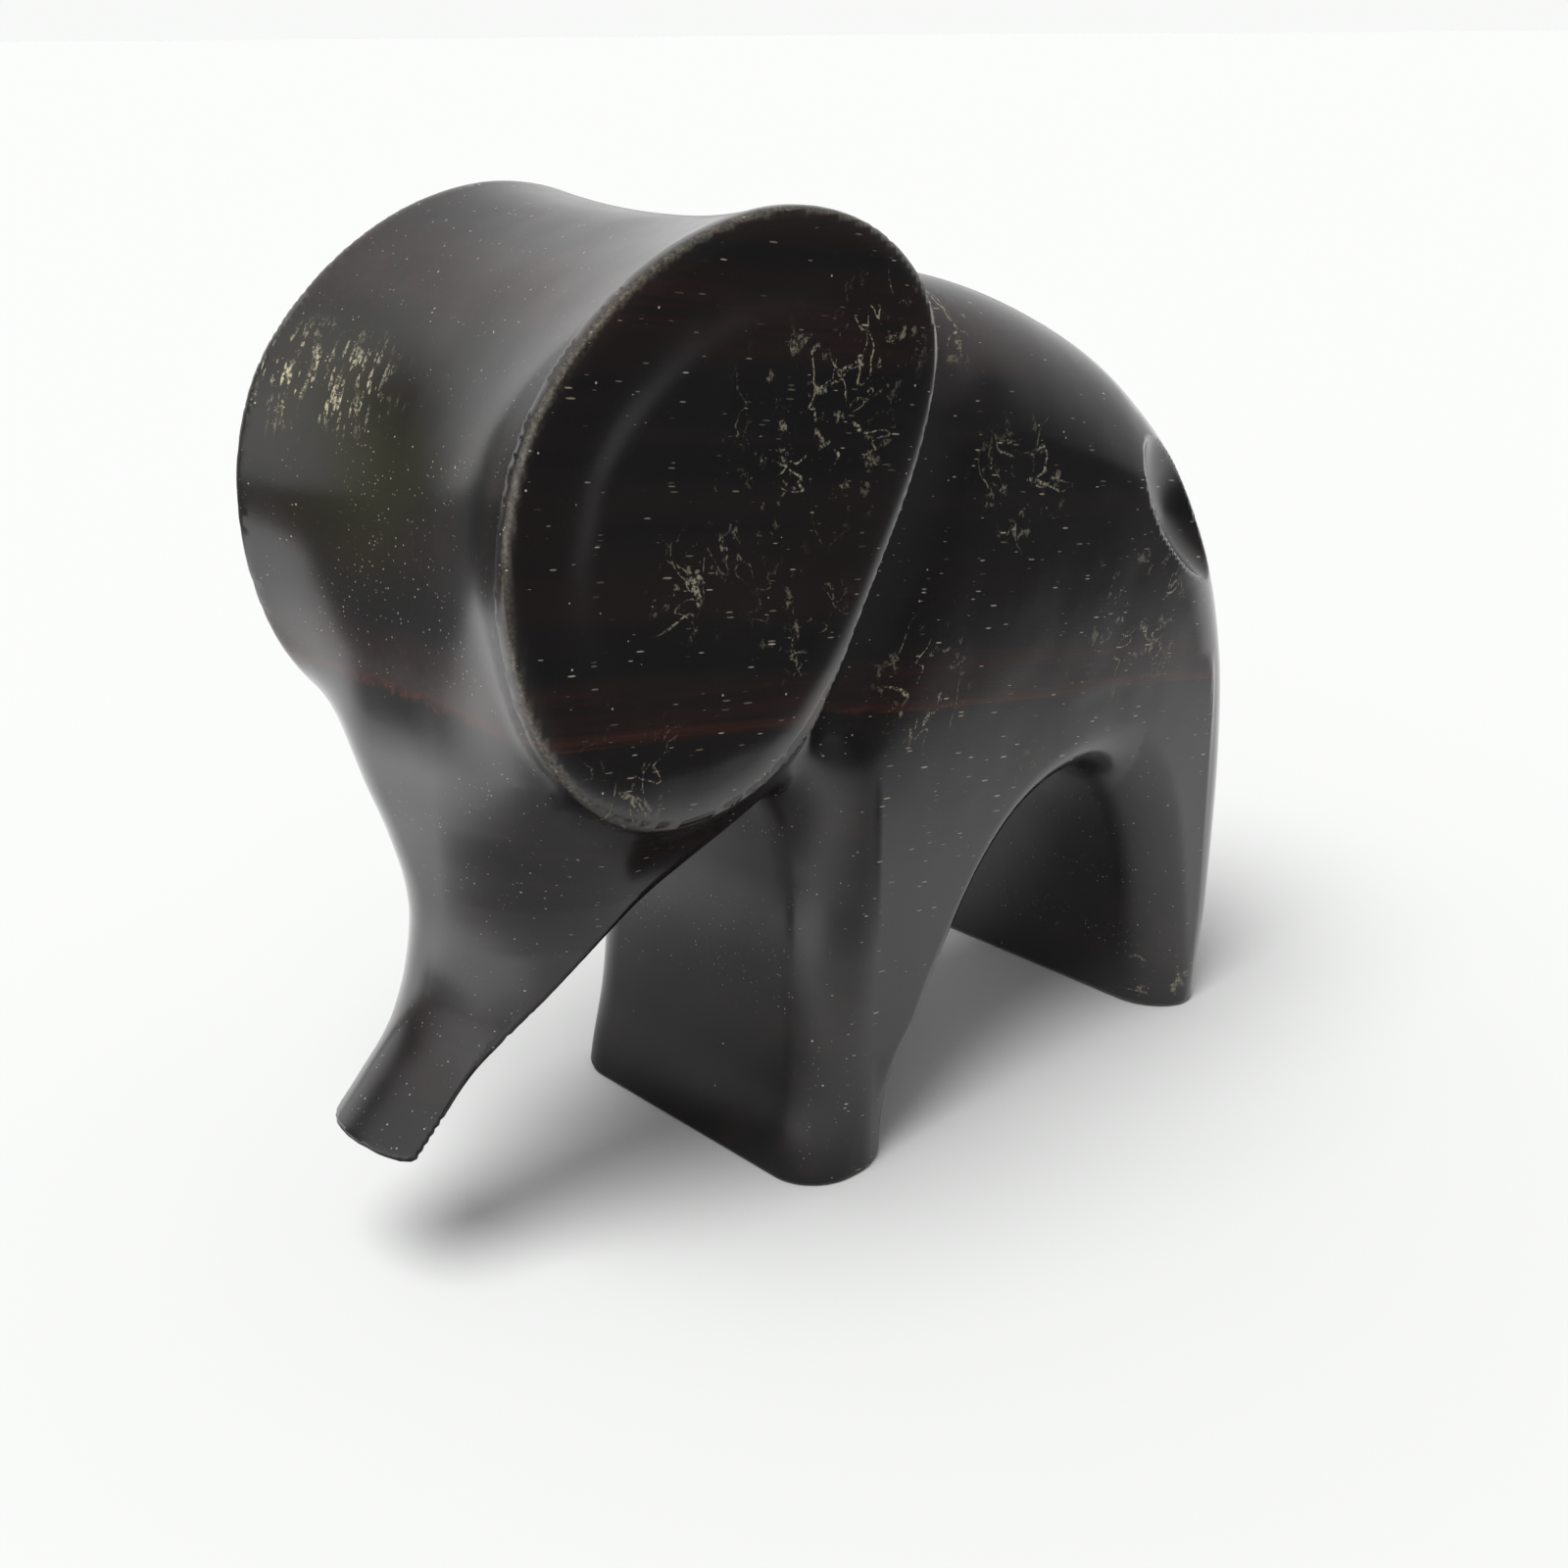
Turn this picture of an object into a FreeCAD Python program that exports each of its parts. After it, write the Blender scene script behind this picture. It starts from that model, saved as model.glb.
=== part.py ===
import FreeCAD, Part
import math
import os

from FreeCAD import Vector

# Carved wooden elephant, one solid block of dark hardwood, in millimetres.
# +Z is up, the head points to -Y, the elephant's left side is +X and the plane X = 0 is its
# plane of symmetry.  The origin is on the ground, under the middle of the whole figure.
#
# The carver's order is kept: a slab with the side outline of torso and legs is rounded over,
# a groove is cut round the neck, the head is a waisted drum between two flat ears, the trunk
# grows out of the brow, and last come the shallow gouge cuts: one dish in either ear and one
# hollow on either haunch.

doc = FreeCAD.newDocument("carved_elephant")

# ---------------------------------------------------------------- driving dimensions
# Places on the side outline of torso and legs: (name, y, z, what it is).
OUTLINE = [
    ("front_toe", -20.9, 0.0, "front feet, foremost line"),
    ("front_heel", -5.0, 0.0, "front feet, rearmost line"),
    ("shin", -0.7, 17.0, "front legs, rear side"),
    ("elbow", 11.9, 36.0, "belly arch above the front legs"),
    ("crown", 29.5, 43.8, "top of the belly arch"),
    ("stifle", 43.5, 35.4, "belly arch above the rear legs"),
    ("hock", 49.5, 17.0, "rear legs, front side"),
    ("rear_toe", 51.0, 0.0, "rear feet, foremost line"),
    ("rear_heel", 63.3, 0.0, "rear feet, rearmost line"),
    ("calf", 67.4, 20.0, "rear legs, rear side"),
    ("rump", 70.3, 48.0, "rearmost line of the rump"),
    ("croup", 59.5, 84.0, "slope of the rump below the back"),
    ("back", 31.0, 104.9, "back"),
    ("nape", -4.5, 112.3, "where the back meets the head"),
    ("chin", -23.0, 56.0, "where the chest turns under the head"),
    ("throat", -17.1, 40.0, "rear wall between trunk and front legs"),
    ("breast", -18.5, 13.0, "front legs, front side"),
]

# Single dimensions: (name, value, what it is).
DIMENSIONS = [
    ("torso_width", 49.8, "across belly and legs"),
    ("leg_round", 6.5, "vertical edges of all feet"),
    ("chest_round", 8.0, "chest edge beside the throat"),
    ("arch_front_round", 3.0, "belly arch, front leg side"),
    ("arch_crown_round", 5.5, "belly arch at its top"),
    ("arch_rear_round", 5.0, "belly arch, rear leg side"),
    ("rump_round", 13.0, "edge round the rump"),
    ("back_round", 20.0, "edge along the back"),
    ("ear_y", -32.5, "middle of the ears"),
    ("ear_z", 90.0, "middle of the ears"),
    ("head_width", 54.8, "over both ears"),
    ("ear_edge", 1.0, "worn rim of the ears"),
    ("groove_radius", 9.0, "gouge that cuts the neck"),
    ("groove_offset", 3.5, "gouge path outside the ear outline"),
    ("groove_side", 28.6, "gouge path from the plane of symmetry"),
    ("dish_radius", 210.0, "gouge that dishes the ear faces"),
    ("dish_depth", 1.5, "depth of the dish in either ear"),
    ("hollow_x", 31.2, "middle of the haunch gouge"),
    ("hollow_y", 56.1, "middle of the haunch gouge"),
    ("hollow_z", 79.5, "middle of the haunch gouge"),
    ("hollow_length", 41.6, "haunch gouge, down the rump"),
    ("hollow_width", 23.0, "haunch gouge, across"),
    ("hollow_height", 28.0, "haunch gouge, into the timber"),
]

# Reach of the ear outline from its middle, one value every 30 degrees, starting to the rear
# and turning upwards, and how far the drum between the ears is cut in at the same place.
EAR_REACH = [26.5, 34.5, 34.5, 31.0, 28.5, 29.0, 30.0, 32.5, 34.0, 31.0, 25.5, 23.5]
WAIST_CUT = [0.5, 2.0, 2.0, 3.0, 3.5, 5.5, 6.0, 4.5, 0.5, 0.5, 0.5, 0.5]
RING_STEP = 2 * math.pi / len(EAR_REACH)

# Rings of the head drum as shares of its half width, and how the waist fades to the ears.
DRUM_SHARES = [-1.0, -0.8, -0.45, 0.0, 0.45, 0.8, 1.0]
WAIST_FADE = 2.2

# Directions of the haunch gouge on the left: out of the timber, and down the rump.
HOLLOW_OUT = (0.912, 0.317, 0.264)
HOLLOW_RUN = (-0.044, 0.711, -0.701)

# Trunk stations from the tip up into the head: front and rear of the section in the plane of
# symmetry (y, z, y, z), half width at the rear corners, and the share of the depth that is a
# flat side before the front rounds over.
TRUNK = [
    ("tip", -70.3, 18.4, -67.7, 16.7, 8.6, 0.06),
    ("lip", -65.7, 23.2, -63.0, 21.2, 9.4, 0.06),
    ("curl", -60.9, 28.6, -58.1, 26.3, 10.7, 0.06),
    ("middle", -58.3, 35.0, -52.2, 32.6, 12.7, 0.06),
    ("root", -57.1, 42.0, -45.5, 39.3, 14.3, 0.10),
    ("cheek", -57.2, 49.0, -36.5, 46.0, 16.5, 0.28),
    ("brow", -57.0, 57.0, -24.0, 53.0, 18.0, 0.55),
    ("heart", -55.0, 72.0, -24.0, 67.0, 18.5, 0.50),
]

sheet = doc.addObject("Spreadsheet::Sheet", "Dimensions")


def fill_sheet():
    """Every dimension on the sheet, one row each, under its own name."""
    rows = list(DIMENSIONS)
    for name, y, z, meaning in OUTLINE:
        rows.append((name + "_y", y, meaning))
        rows.append((name + "_z", z, meaning))
    for k, (reach, cut) in enumerate(zip(EAR_REACH, WAIST_CUT)):
        rows.append(("ear_reach_%02d" % k, reach, "ear outline, step %d" % k))
        rows.append(("waist_cut_%02d" % k, cut, "waist of the head, step %d" % k))
    for name, front_y, front_z, rear_y, rear_z, half, flat in TRUNK:
        meaning = "trunk section at the " + name
        rows.append(("trunk_front_%s_y" % name, front_y, meaning))
        rows.append(("trunk_front_%s_z" % name, front_z, meaning))
        rows.append(("trunk_rear_%s_y" % name, rear_y, meaning))
        rows.append(("trunk_rear_%s_z" % name, rear_z, meaning))
        rows.append(("trunk_half_%s" % name, half, meaning))
        rows.append(("trunk_flat_%s" % name, flat, meaning))
    for k, (alias, number, meaning) in enumerate(rows, 1):
        sheet.set("A%d" % k, meaning)
        sheet.set("B%d" % k, str(number))
        sheet.setAlias("B%d" % k, alias)
    doc.recompute()


def size(alias):
    return float(sheet.get(alias))


def spot(name):
    """A named place in the plane of symmetry."""
    return Vector(0, size(name + "_y"), size(name + "_z"))


def freeform(name, shape):
    """A carved outline that no sketch shape fits, read from the sheet."""
    thing = doc.addObject("Part::Feature", name)
    thing.Shape = shape
    return thing


# ---------------------------------------------------------------- torso and legs
# Smooth stretches of the outline: the places each runs through, its direction (y, z) at both
# ends, and the edge radii at both ends.
STRETCHES = [
    (("front_heel", "shin", "elbow", "crown"), (0.05, 1), (1, 0),
     "arch_front_round", "arch_crown_round"),
    (("crown", "stifle", "hock", "rear_toe"), (1, 0), (0.08, -1),
     "arch_crown_round", "arch_rear_round"),
    (("rear_heel", "calf", "rump"), (0.25, 1), (0, 1),
     "leg_round", "rump_round"),
    (("rump", "croup", "back", "nape"), (0, 1), (-1, 0.1),
     "rump_round", "back_round"),
    (("chin", "throat", "breast", "front_toe"), (0.6, -0.8), (-0.25, -1),
     "chest_round", "leg_round"),
]


def torso_outline():
    """Side outline of torso and legs as a closed face in the plane of symmetry."""
    edges = []
    for names, start, end, first_round, last_round in STRETCHES:
        curve = Part.BSplineCurve()
        curve.interpolate([spot(name) for name in names],
                          InitialTangent=Vector(0, *start), FinalTangent=Vector(0, *end))
        edges.append(curve.toShape())
    middle = Vector(0, size("ear_y"), size("ear_z"))
    edges.append(Part.makeLine(spot("nape"), middle))
    edges.append(Part.makeLine(middle, spot("chin")))
    edges.append(Part.makeLine(spot("front_toe"), spot("front_heel")))
    edges.append(Part.makeLine(spot("rear_toe"), spot("rear_heel")))
    return Part.Face(Part.Wire(Part.__sortEdges__(edges)))


def make_slab():
    """The sawn blank of torso and legs."""
    blank = doc.addObject("Part::Extrusion", "torso_slab")
    blank.Base = freeform("torso_outline", torso_outline())
    blank.DirMode = "Custom"
    blank.Dir = Vector(1, 0, 0)
    blank.Symmetric = True
    blank.Solid = True
    blank.setExpression("LengthFwd", "Dimensions.torso_width")
    doc.recompute()
    return blank


def flat_distance(a, b):
    """Distance of two points seen from the side."""
    return math.hypot(a.y - b.y, a.z - b.z)


def round_over(blank):
    """Rounds the long edges of the slab, each with its own radius at either end."""
    edges = []
    for names, start, end, first_round, last_round in STRETCHES:
        head, foot = spot(names[0]), spot(names[-1])
        for number, edge in enumerate(blank.Shape.Edges, 1):
            begin = edge.valueAt(edge.FirstParameter)
            finish = edge.valueAt(edge.LastParameter)
            if flat_distance(begin, head) + flat_distance(finish, foot) < 0.01:
                edges.append((number, size(first_round), size(last_round)))
            if flat_distance(begin, foot) + flat_distance(finish, head) < 0.01:
                edges.append((number, size(last_round), size(first_round)))
    rounded = doc.addObject("Part::Fillet", "torso")
    rounded.Base = blank
    rounded.Edges = edges
    doc.recompute()
    return rounded


# ---------------------------------------------------------------- head
def ear_place(step, x, inward):
    """Place on the ear outline at the given step, drawn in towards its middle."""
    reach = size("ear_reach_%02d" % (step % len(EAR_REACH))) - inward
    return Vector(x, size("ear_y") + reach * math.cos(RING_STEP * step),
                  size("ear_z") + reach * math.sin(RING_STEP * step))


def drum_ring(share):
    """Closed outline of the head drum at a share of its half width."""
    waist = 1.0 - abs(share) ** WAIST_FADE
    x = share * size("head_width") / 2
    places = []
    for step in range(len(EAR_REACH)):
        places.append(ear_place(step, x, waist * size("waist_cut_%02d" % step)))
    curve = Part.BSplineCurve()
    curve.interpolate(places, PeriodicFlag=True)
    return Part.Wire(curve.toShape())


def make_head():
    """The drum between the ears, waisted between its two flat ends, with worn rims."""
    drum = doc.addObject("Part::Loft", "head_drum")
    drum.Sections = [freeform("drum_ring_%d" % k, drum_ring(share))
                     for k, share in enumerate(DRUM_SHARES)]
    drum.Solid = True
    doc.recompute()
    half = size("head_width") / 2
    rims = []
    for number, edge in enumerate(drum.Shape.Edges, 1):
        box = edge.BoundBox
        if box.XLength < 0.01 and abs(abs(box.XMin) - half) < 0.01:
            rims.append((number, size("ear_edge"), size("ear_edge")))
    worn = doc.addObject("Part::Fillet", "head")
    worn.Base = drum
    worn.Edges = rims
    doc.recompute()
    return worn


# ---------------------------------------------------------------- trunk
def trunk_ring(name):
    """Trunk section at one station: flat rear, short flat sides, round front."""
    front = spot("trunk_front_" + name)
    rear = spot("trunk_rear_" + name)
    half = Vector(size("trunk_half_" + name), 0, 0)
    shoulder = rear + (front - rear) * size("trunk_flat_" + name)
    edges = [
        Part.makeLine(rear - half, rear + half),
        Part.makeLine(rear + half, shoulder + half),
        Part.Arc(shoulder + half, front, shoulder - half).toShape(),
        Part.makeLine(shoulder - half, rear - half),
    ]
    return Part.Wire(edges)


def make_trunk():
    """The trunk, lofted from its chiselled tip up into the head."""
    loft = doc.addObject("Part::Loft", "trunk")
    loft.Sections = [freeform("trunk_" + row[0], trunk_ring(row[0])) for row in TRUNK]
    loft.Solid = True
    doc.recompute()
    return loft


# ---------------------------------------------------------------- neck grooves
def make_groove(side, x):
    """One gouge cut round an ear, a round bar swept from under the chin over the nape."""
    places = [ear_place(step, x, -size("groove_offset")) for step in range(-4, 5)]
    curve = Part.BSplineCurve()
    curve.interpolate(places)
    path = freeform("groove_path_" + side, Part.Wire(curve.toShape()))
    heading = curve.tangent(curve.FirstParameter)[0]
    ring = doc.addObject("Part::Circle", "groove_ring_" + side)
    ring.setExpression("Radius", "Dimensions.groove_radius")
    ring.Placement = FreeCAD.Placement(places[0], FreeCAD.Rotation(Vector(0, 0, 1), heading))
    bar = doc.addObject("Part::Sweep", "neck_groove_" + side)
    bar.Sections = [ring]
    bar.Spine = (path, ["Edge1"])
    bar.Solid = True
    doc.recompute()
    return bar


# ---------------------------------------------------------------- shallow gouge cuts
def make_dish(side, sign):
    """A very large ball that sinks one ear face a little, leaving its rim standing."""
    dish = doc.addObject("Part::Sphere", "ear_dish_" + side)
    dish.setExpression("Radius", "Dimensions.dish_radius")
    out = size("head_width") / 2 - size("dish_depth") + size("dish_radius")
    dish.Placement.Base = Vector(sign * out, size("ear_y"), size("ear_z"))
    return dish


def make_hollow(side, sign):
    """One gouge cut on the corner of a haunch, a long ellipsoid that dips into it."""
    gouge = doc.addObject("Part::Ellipsoid", "haunch_hollow_" + side)
    gouge.setExpression("Radius1", "Dimensions.hollow_length / 2")
    gouge.setExpression("Radius2", "Dimensions.hollow_width / 2")
    gouge.setExpression("Radius3", "Dimensions.hollow_height / 2")
    out = Vector(sign * HOLLOW_OUT[0], *HOLLOW_OUT[1:])
    run = Vector(sign * HOLLOW_RUN[0], *HOLLOW_RUN[1:])
    place = Vector(sign * size("hollow_x"), size("hollow_y"), size("hollow_z"))
    gouge.Placement = FreeCAD.Placement(place, FreeCAD.Rotation(Vector(), out, run, "YZX"))
    return gouge


# ---------------------------------------------------------------- the whole carving
def fuse(name, things):
    joined = doc.addObject("Part::MultiFuse", name)
    joined.Shapes = things
    return joined


def cut(name, base, tool):
    carved = doc.addObject("Part::Cut", name)
    carved.Base = base
    carved.Tool = tool
    return carved


def carve():
    torso = round_over(make_slab())
    grooves = [make_groove("left", size("groove_side")),
               make_groove("right", -size("groove_side"))]
    gouges = [make_dish("left", 1), make_dish("right", -1),
              make_hollow("left", 1), make_hollow("right", -1)]
    necked = cut("torso_necked", torso, fuse("neck_grooves", grooves))
    figure = fuse("figure", [necked, make_head(), make_trunk()])
    carving = cut("elephant", figure, fuse("gouge_cuts", gouges))
    carving.Label = "carved_elephant"
    doc.recompute()
    return carving


def check_all(sub_parts):
    for thing in doc.Objects:
        bad = [state for state in thing.State if state in ("Invalid", "Error")]
        if bad:
            raise RuntimeError("%s is %s" % (thing.Name, bad))
    for thing in sub_parts:
        shape = thing.Shape
        if shape.isNull() or not shape.isValid() or len(shape.Solids) != 1:
            raise RuntimeError("%s is not one valid solid" % thing.Label)


def export_all(sub_parts):
    os.makedirs("parts", exist_ok=True)
    for thing in sub_parts:
        thing.Shape.exportStep("parts/%s.step" % thing.Label)
        box = thing.Shape.optimalBoundingBox(False)
        print("%s  %.0f mm3  X %.2f..%.2f  Y %.2f..%.2f  Z %.2f..%.2f" % (
            thing.Label, thing.Shape.Volume,
            box.XMin, box.XMax, box.YMin, box.YMax, box.ZMin, box.ZMax))


fill_sheet()
made = [carve()]
check_all(made)
export_all(made)
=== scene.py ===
import math

import bpy
import numpy as np
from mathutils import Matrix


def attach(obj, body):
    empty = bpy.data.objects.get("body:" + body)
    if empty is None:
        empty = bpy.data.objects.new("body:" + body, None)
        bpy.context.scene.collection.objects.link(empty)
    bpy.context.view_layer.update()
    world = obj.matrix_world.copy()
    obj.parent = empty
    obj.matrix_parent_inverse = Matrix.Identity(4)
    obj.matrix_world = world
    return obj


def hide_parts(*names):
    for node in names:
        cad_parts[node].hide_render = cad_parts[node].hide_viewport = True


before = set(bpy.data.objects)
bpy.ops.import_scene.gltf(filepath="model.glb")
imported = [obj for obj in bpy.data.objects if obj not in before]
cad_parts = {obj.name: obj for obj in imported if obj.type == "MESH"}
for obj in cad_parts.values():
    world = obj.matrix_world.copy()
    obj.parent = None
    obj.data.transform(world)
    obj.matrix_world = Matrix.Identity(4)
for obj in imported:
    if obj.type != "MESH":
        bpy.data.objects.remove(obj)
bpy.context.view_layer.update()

import openvdb
from mathutils import Matrix, Vector

# The elephant is one carved block.  Its surface is the zero level of one smooth function of
# the place in the block, in millimetres of the row's frame: positive inside, negative outside.
# Head drum with ears, trunk and torso are each such a function, and they are blended into one.
# The block is the same on both sides, so they take the distance from its middle plane, "side".

# ---------------------------------------------------------------- side outlines, (y, z)
EAR = [(-24.4, 121.4), (-12.5, 118.6), (-4.5, 111.8), (-2.1, 104.5), (-4.1, 94.5),
       (-11.7, 79.5), (-19.0, 68.6), (-29.5, 59.9), (-41.5, 57.8), (-51.0, 61.4),
       (-58.7, 69.5), (-62.4, 81.0), (-62.4, 91.5), (-58.7, 102.5), (-50.1, 112.0),
       (-37.8, 119.0)]
WAIST = [(-23.5, 119), (-10.5, 116), (-4.5, 108), (-4.5, 96), (-10.5, 80), (-18.5, 66),
         (-30.5, 56), (-44.5, 54), (-53.5, 60), (-56.5, 72), (-57, 84), (-55.5, 95),
         (-51.5, 104), (-44.5, 112), (-34.5, 117)]
ARCH = [(-5, -20), (-5, 0), (-4.1, 8), (-0.7, 17), (5.2, 27), (11.9, 36), (20, 41.8),
        (29.5, 43.8), (38.5, 41), (45.5, 32), (49.5, 17), (51, 0), (51, -20)]
BACK = [(63, -20), (63.3, 0), (66.3, 14), (69.3, 33), (70, 52), (67.2, 69), (59.5, 84),
        (47, 96.2), (31, 104.9), (14.5, 110.2), (-4.5, 112.3), (-26.5, 108), (-34.5, 90)]
CHEST = [(-34.5, 90), (-30.5, 62), (-23, 56), (-18.5, 49), (-17.1, 40), (-17.5, 28),
         (-18.5, 13), (-20.9, 0), (-21.5, -20)]
TRUNK_FRONT = [(-88.5, 2), (-80.5, 9.2), (-70.7, 18.3), (-65.7, 23.2), (-60.9, 28.6),
               (-58.3, 35), (-57.1, 42), (-57.5, 50), (-58.1, 57), (-57.5, 64),
               (-53.5, 74), (-46.5, 84)]
TRUNK_REAR = [(-36.5, 84), (-20.5, 66), (-15.5, 57), (-23.5, 52.4), (-32.5, 48),
              (-40.7, 43.3), (-46.7, 38.2), (-52.1, 32.6), (-57.5, 26.9), (-63.4, 20.8),
              (-73.5, 11), (-83.5, 1)]
OVER_THE_HEAD = [(-26.5, 100), (63.5, 100), (63.5, -40), (-88.5, -40)]
BEFORE_THE_FACE = [(-116.5, 2), (-116.5, 120), (-36.5, 120)]

# ---------------------------------------------------------------- torso and legs, mm
# A range is where something fades in along y or z: from its first value to its second one.
# A list of pairs is a size along the block: (y or z, size there).
BODY_HALF = 24.6
FOOT_SPREAD = 0.5
FOOT_RANGE = (30, 0)
FOOT_EDGE = 0.8
NECK_DEPTH = 5.2
NECK_REACH = 8.0
NECK_RANGE = (42, 66)
NECK_FILL = 4.0
FRONT_ROUND = [(-20, 7), (0, 7), (20, 8), (60, 12), (90, 20), (130, 21)]
REAR_ROUND = [(-20, 6), (0, 6.5), (14, 8), (33, 11), (52, 14), (66, 17), (90, 20), (130, 21)]
REAR_RANGE = (23.5, 48.5)
ARCH_ROUND = [(-8.5, 2.6), (8.5, 2.8), (28.5, 5), (43.5, 9), (51.5, 8), (58.5, 6.5)]
LEG_ROUND = 6.0
LEG_RANGE = (28, 8)
BELLY_FRONT = (-9.5, -5.5)
BELLY_REAR = (61.5, 56.5)
BELLY_TOP = (56, 48)
BELLY_MIDDLE = 22.5
BELLY_REACH = (38, 36)

# ---------------------------------------------------------------- head and ears, mm
EAR_HALF = 27.2
EAR_EDGE = 0.5
RIM_WIDTH = 3.4
RIM_DROP = 0.7
DISH_DEPTH = 1.7
DISH_SLOPE = 22.0
DISH_EDGE = 9.0
DRUM_HALF = 25.2
DRUM_FADE = 2.2
ARRIS_SIDE = 26.6
ARRIS_WIDTH = 0.45

# ---------------------------------------------------------------- trunk, mm
TRUNK_HALF = [(0, 14.6), (17, 14.6), (24, 15.0), (32, 15.4), (40, 16.0), (46, 17.2), (56, 20.0),
              (64, 21.5), (75, 21), (200, 20)]
TRUNK_FRONT_ROUND = [(0, 14.6), (17, 14.6), (24, 15), (32, 15.2), (40, 15.2), (48, 15), (60, 15)]
TRUNK_REAR_ROUND = [(15, 1.0), (20, 1.1), (40, 1.5), (60, 4)]
TRUNK_FILL = 18.0
TIP_PLACE = (-70.7, 18.2)
TIP_FACE = (-0.55, -0.83)
TIP_INSET = 0.3
TIP_CURVE = 1.3
TIP_HALF = 9.0
TIP_EDGE = 0.7

# ---------------------------------------------------------------- hollow on each haunch, mm
HOLLOW_PLACE = (31.2, 56.1, 79.5)
HOLLOW_OUT = (0.911, 0.317, 0.264)
HOLLOW_RUN = (-0.044, 0.711, -0.701)
HOLLOW_HALF = (14.0, 20.8, 11.5)
HOLLOW_EDGE = 0.4

# ---------------------------------------------------------------- grids, mm
GRID = 0.8
GRID_LOW = (-28, -74, -2)
GRID_HIGH = (28, 76, 125)
OPEN_AIR = 3.0
MAP_STEP = 0.4
MAP_LOW = (-78.0, -6.0)
MAP_HIGH = (80.0, 130.0)
SLOPE_REACH = 0.05
SETTLE_ROUNDS = 3
SETTLE_LIMIT = 0.5
SOLE = 0.02


def curve(points, closed=False, steps=14):
    """Centripetal Catmull-Rom curve through the points."""
    p = np.asarray(points, float)
    if closed:
        q = np.vstack([p[-1], p, p[0], p[1]])
    else:
        q = np.vstack([2 * p[0] - p[1], p, 2 * p[-1] - p[-2]])
    pieces = []
    for i in range(1, len(q) - 2):
        a, b, c, d = q[i - 1:i + 3]
        ta = 0.0
        tb = ta + math.sqrt(np.linalg.norm(b - a))
        tc = tb + math.sqrt(np.linalg.norm(c - b))
        td = tc + math.sqrt(np.linalg.norm(d - c))
        t = np.linspace(tb, tc, steps, endpoint=False)[:, None]
        ab = a + (b - a) * (t - ta) / (tb - ta)
        bc = b + (c - b) * (t - tb) / (tc - tb)
        cd = c + (d - c) * (t - tc) / (td - tc)
        abc = ab + (bc - ab) * (t - ta) / (tc - ta)
        bcd = bc + (cd - bc) * (t - tb) / (td - tb)
        pieces.append(abc + (bcd - abc) * (t - tb) / (tc - tb))
    if not closed:
        pieces.append(p[-1:])
    return np.vstack(pieces)


def inside(outline, y, z):
    """Signed distance to a closed outline, positive inside."""
    nearest = np.full(y.shape, 1e9)
    within = np.zeros(y.shape, bool)
    for (ay, az), (by, bz) in zip(outline, np.roll(outline, -1, 0)):
        dy, dz = by - ay, bz - az
        length = dy * dy + dz * dz
        if length < 1e-12:
            continue
        t = np.clip(((y - ay) * dy + (z - az) * dz) / length, 0, 1)
        np.minimum(nearest, (y - ay - t * dy) ** 2 + (z - az - t * dz) ** 2, out=nearest)
        if dz != 0:
            crosses = (az > z) != (bz > z)
            within ^= crosses & (y < ay + (z - az) * dy / dz)
    distance = np.sqrt(nearest)
    return np.where(within, distance, -distance)


def meet(a, b, radius):
    """Inside both, with the edge between them rounded."""
    corner = radius - np.hypot(np.maximum(radius - a, 0), np.maximum(radius - b, 0))
    return np.where((a < radius) & (b < radius), corner, np.minimum(a, b))


def join(a, b, width):
    """Inside either, with the crease between them filled."""
    h = np.maximum(width - np.abs(a - b), 0) / width
    return np.maximum(a, b) + h ** 3 * width / 6


def fade(start, end, value):
    """Smooth step from 0 at start to 1 at end."""
    t = np.clip((value - start) / (end - start), 0, 1)
    return t * t * (3 - 2 * t)


def along(pairs, value):
    """Size at a place, read off a list of pairs."""
    return np.interp(value, *zip(*pairs))


EAR_LINE = curve(EAR, closed=True)
WAIST_LINE = curve(WAIST, closed=True)
TORSO_LINE = np.vstack([curve(ARCH), curve(BACK)[:-1], curve(CHEST)])
TRUNK_FRONT_LINE = np.vstack([curve(TRUNK_FRONT), OVER_THE_HEAD])
TRUNK_REAR_LINE = np.vstack([curve(TRUNK_REAR), BEFORE_THE_FACE])
OUTLINES = [EAR_LINE, WAIST_LINE, TORSO_LINE, TRUNK_FRONT_LINE, TRUNK_REAR_LINE]
MAP_Y = np.arange(MAP_LOW[0], MAP_HIGH[0], MAP_STEP)
MAP_Z = np.arange(MAP_LOW[1], MAP_HIGH[1], MAP_STEP)
MAPS = [inside(line, *np.meshgrid(MAP_Y, MAP_Z, indexing="ij")) for line in OUTLINES]


def profiles(y, z):
    """The five side outlines as signed distances, read between the places of the maps."""
    row = (y - MAP_LOW[0]) / MAP_STEP
    column = (z - MAP_LOW[1]) / MAP_STEP
    i = np.clip(row.astype(int), 0, len(MAP_Y) - 2)
    j = np.clip(column.astype(int), 0, len(MAP_Z) - 2)
    s, t = row - i, column - j
    found = []
    for distance in MAPS:
        low = distance[i, j] * (1 - s) + distance[i + 1, j] * s
        high = distance[i, j + 1] * (1 - s) + distance[i + 1, j + 1] * s
        found.append(low * (1 - t) + high * t)
    return found


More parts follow.
